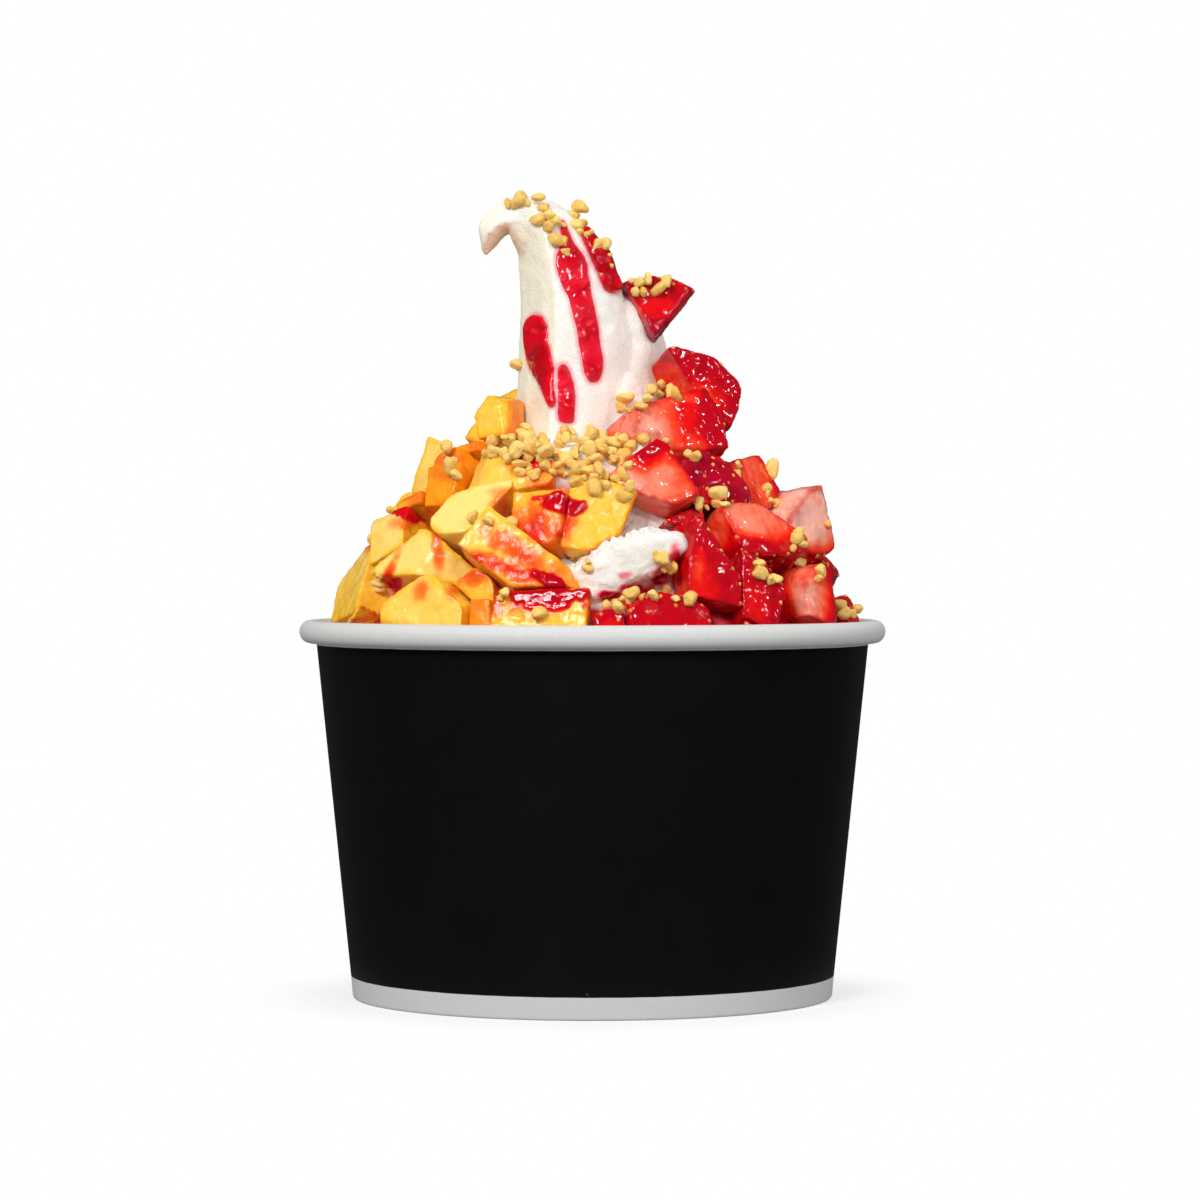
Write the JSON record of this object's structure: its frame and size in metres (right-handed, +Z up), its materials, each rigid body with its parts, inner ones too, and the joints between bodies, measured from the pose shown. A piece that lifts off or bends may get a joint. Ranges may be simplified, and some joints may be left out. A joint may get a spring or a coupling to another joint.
{
  "type": "sundae cup",
  "caption": "Paper cup of soft-serve drawn up into a hooked peak, heaped with cut mango and strawberry, berry sauce and bee pollen",
  "frame": {"origin": "middle of the cup's foot, on the table", "axes": "+Z up, the fruit and the peak as shown are looked at along +Y, +X to the right"},
  "size_m": [0.1118, 0.1118, 0.153],
  "materials": {
    "cup_paper": "satin black print on coated paper, with a bare white rolled rim and a white band at the foot",
    "base_paper": "bare white coated paper",
    "soft_serve": "smooth frozen cream-white, slightly moist, with red berry sauce and golden pollen grains on it",
    "mango_flesh": "wet cut yellow fruit flesh, stained orange-red where sauce ran",
    "strawberry_flesh": "wet cut red fruit, pale pink at the core, with a glossy seeded skin"
  },
  "bodies": {
    "root": {"cup_base": "base_paper", "cup_wall": "cup_paper", "mango_01": "mango_flesh", "mango_02": "mango_flesh", "mango_03": "mango_flesh", "mango_04": "mango_flesh", "mango_05": "mango_flesh", "mango_06": "mango_flesh", "mango_07": "mango_flesh", "mango_08": "mango_flesh", "mango_09": "mango_flesh", "mango_10": "mango_flesh", "mango_11": "mango_flesh", "mango_12": "mango_flesh", "mango_13": "mango_flesh", "mango_14": "mango_flesh", "mango_15": "mango_flesh", "mango_16": "mango_flesh", "mango_17": "mango_flesh", "mango_18": "mango_flesh", "mango_19": "mango_flesh", "mango_20": "mango_flesh", "mango_21": "mango_flesh", "mango_22": "mango_flesh", "mango_23": "mango_flesh", "mango_24": "mango_flesh", "mango_25": "mango_flesh", "mango_26": "mango_flesh", "mango_27": "mango_flesh", "mango_28": "mango_flesh", "mango_29": "mango_flesh", "mango_30": "mango_flesh", "soft_serve": "soft_serve", "strawberry_01": "strawberry_flesh", "strawberry_02": "strawberry_flesh", "strawberry_03": "strawberry_flesh", "strawberry_04": "strawberry_flesh", "strawberry_05": "strawberry_flesh", "strawberry_06": "strawberry_flesh", "strawberry_07": "strawberry_flesh", "strawberry_08": "strawberry_flesh", "strawberry_09": "strawberry_flesh", "strawberry_10": "strawberry_flesh", "strawberry_11": "strawberry_flesh", "strawberry_12": "strawberry_flesh", "strawberry_13": "strawberry_flesh", "strawberry_14": "strawberry_flesh", "strawberry_15": "strawberry_flesh", "strawberry_16": "strawberry_flesh", "strawberry_17": "strawberry_flesh", "strawberry_18": "strawberry_flesh", "strawberry_19": "strawberry_flesh", "strawberry_20": "strawberry_flesh", "strawberry_21": "strawberry_flesh", "strawberry_22": "strawberry_flesh", "strawberry_23": "strawberry_flesh", "strawberry_24": "strawberry_flesh", "strawberry_25": "strawberry_flesh", "strawberry_26": "strawberry_flesh", "strawberry_27": "strawberry_flesh"}
  },
  "joints": []
}
